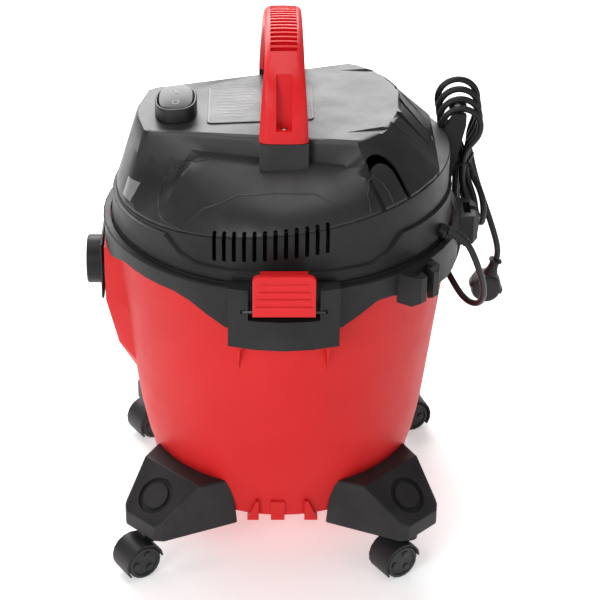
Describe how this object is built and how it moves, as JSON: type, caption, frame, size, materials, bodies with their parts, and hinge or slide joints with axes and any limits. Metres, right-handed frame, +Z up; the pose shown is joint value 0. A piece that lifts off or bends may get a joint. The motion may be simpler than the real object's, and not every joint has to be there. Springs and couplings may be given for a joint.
{
  "type": "shop vacuum",
  "caption": "Wet and dry canister vacuum: red drum on swivel casters, black latched head with carry handle, rocker switch and bundled power cord.",
  "frame": {"origin": "on the floor, under the drum's centre line", "axes": "+Z up, -X towards the hose inlet and the switch, -Y towards the front latch, +X towards the cord"},
  "size_m": [0.493, 0.4426, 0.6282],
  "materials": {
    "red_drum": "moulded, satin gloss",
    "black_body": "fine moulded texture",
    "head_plastic": "fine moulded texture",
    "handle_red": "moulded, satin gloss",
    "latch_red": "moulded, satin gloss",
    "switch_black": "glossy",
    "steel": "turned",
    "screw_zinc": "zinc plated",
    "motor_can": "pressed",
    "impeller_aluminium": "pressed sheet",
    "seal_rubber": "soft",
    "filter_paper": "pleated",
    "white_plastic": "plain",
    "label": "plain plate",
    "wheel_grey": "satin",
    "cord_black": "smooth sheath",
    "pin_brass": "nickel plated"
  },
  "bodies": {
    "tank": {"drum": "red_drum", "collar": "black_body", "inlet_port": "black_body", "inlet_gasket": "seal_rubber", "inlet_deflector": "black_body", "drum_seal": "seal_rubber", "latch_pin_front": "steel", "latch_pin_rear": "steel", "foot_front_left": "black_body", "foot_front_right": "black_body", "foot_rear_left": "black_body", "foot_rear_right": "black_body"},
    "head": {"head_base": "head_plastic", "head_cover": "head_plastic", "handle": "handle_red", "handle_screw_front": "screw_zinc", "handle_screw_rear": "screw_zinc", "switch_bezel": "head_plastic", "label_plate": "label", "motor_body": "motor_can", "motor_seal": "seal_rubber", "fan_housing": "black_body", "float_cage": "black_body", "filter_cartridge": "filter_paper", "cord_gland": "cord_black", "cord_hook": "black_body", "cord_lead": "cord_black", "cord_hank": "cord_black", "cord_tail": "cord_black", "cord_tie": "cord_black", "plug_body": "cord_black", "plug_pin_left": "pin_brass", "plug_pin_right": "pin_brass"},
    "latch_front": {"latch_front": "latch_red"},
    "latch_rear": {"latch_rear": "latch_red"},
    "switch_rocker": {"switch_rocker": "switch_black"},
    "rotor": {"rotor_shaft": "steel", "impeller": "impeller_aluminium"},
    "float": {"float": "white_plastic"},
    "filter_knob": {"filter_knob": "black_body"},
    "caster_front_left": {"caster_front_left": "black_body"},
    "wheel_front_left": {"wheel_front_left": "wheel_grey"},
    "caster_front_right": {"caster_front_right": "black_body"},
    "wheel_front_right": {"wheel_front_right": "wheel_grey"},
    "caster_rear_left": {"caster_rear_left": "black_body"},
    "wheel_rear_left": {"wheel_rear_left": "wheel_grey"},
    "caster_rear_right": {"caster_rear_right": "black_body"},
    "wheel_rear_right": {"wheel_rear_right": "wheel_grey"}
  },
  "joints": [
    {"name": "head_lift", "type": "slide", "parent": "tank", "child": "head", "axis": [0, 0, 1], "range_m": [0, 0.3], "deforming": ["cord_lead"]},
    {"name": "latch_front_swing", "type": "hinge", "parent": "tank", "child": "latch_front", "pos_m": [0, -0.2125, 0.3775], "axis": [1, 0, 0], "range_deg": [0, 60]},
    {"name": "latch_rear_swing", "type": "hinge", "parent": "tank", "child": "latch_rear", "pos_m": [0, 0.2125, 0.3775], "axis": [-1, 0, 0], "range_deg": [0, 60]},
    {"name": "switch_rock", "type": "hinge", "parent": "head", "child": "switch_rocker", "pos_m": [-0.119, -0.012, 0.52765], "axis": [1, 0, 0], "range_deg": [-18, 0]},
    {"name": "rotor_spin", "type": "hinge", "parent": "head", "child": "rotor", "pos_m": [0, 0, 0.39], "axis": [0, 0, 1], "continuous": true},
    {"name": "float_rise", "type": "slide", "parent": "head", "child": "float", "axis": [0, 0, 1], "range_m": [0, 0.025]},
    {"name": "filter_knob_turn", "type": "hinge", "parent": "head", "child": "filter_knob", "pos_m": [0, 0, 0.25], "axis": [0, 0, 1], "continuous": true},
    {"name": "swivel_front_left", "type": "hinge", "parent": "tank", "child": "caster_front_left", "pos_m": [-0.15, -0.15, 0.05], "axis": [0, 0, 1], "continuous": true},
    {"name": "roll_front_left", "type": "hinge", "parent": "caster_front_left", "child": "wheel_front_left", "pos_m": [-0.16761, -0.16144, 0.02068], "axis": [-0.5446, 0.8387, 0], "continuous": true},
    {"name": "swivel_front_right", "type": "hinge", "parent": "tank", "child": "caster_front_right", "pos_m": [0.15, -0.15, 0.05], "axis": [0, 0, 1], "continuous": true},
    {"name": "roll_front_right", "type": "hinge", "parent": "caster_front_right", "child": "wheel_front_right", "pos_m": [0.13239, -0.16144, 0.02068], "axis": [-0.5446, 0.8387, 0], "continuous": true},
    {"name": "swivel_rear_left", "type": "hinge", "parent": "tank", "child": "caster_rear_left", "pos_m": [-0.15, 0.15, 0.05], "axis": [0, 0, 1], "continuous": true},
    {"name": "roll_rear_left", "type": "hinge", "parent": "caster_rear_left", "child": "wheel_rear_left", "pos_m": [-0.16761, 0.13856, 0.02068], "axis": [-0.5446, 0.8387, 0], "continuous": true},
    {"name": "swivel_rear_right", "type": "hinge", "parent": "tank", "child": "caster_rear_right", "pos_m": [0.15, 0.15, 0.05], "axis": [0, 0, 1], "continuous": true},
    {"name": "roll_rear_right", "type": "hinge", "parent": "caster_rear_right", "child": "wheel_rear_right", "pos_m": [0.17003, 0.15632, 0.02068], "axis": [0.3007, -0.9537, 0], "continuous": true}
  ]
}
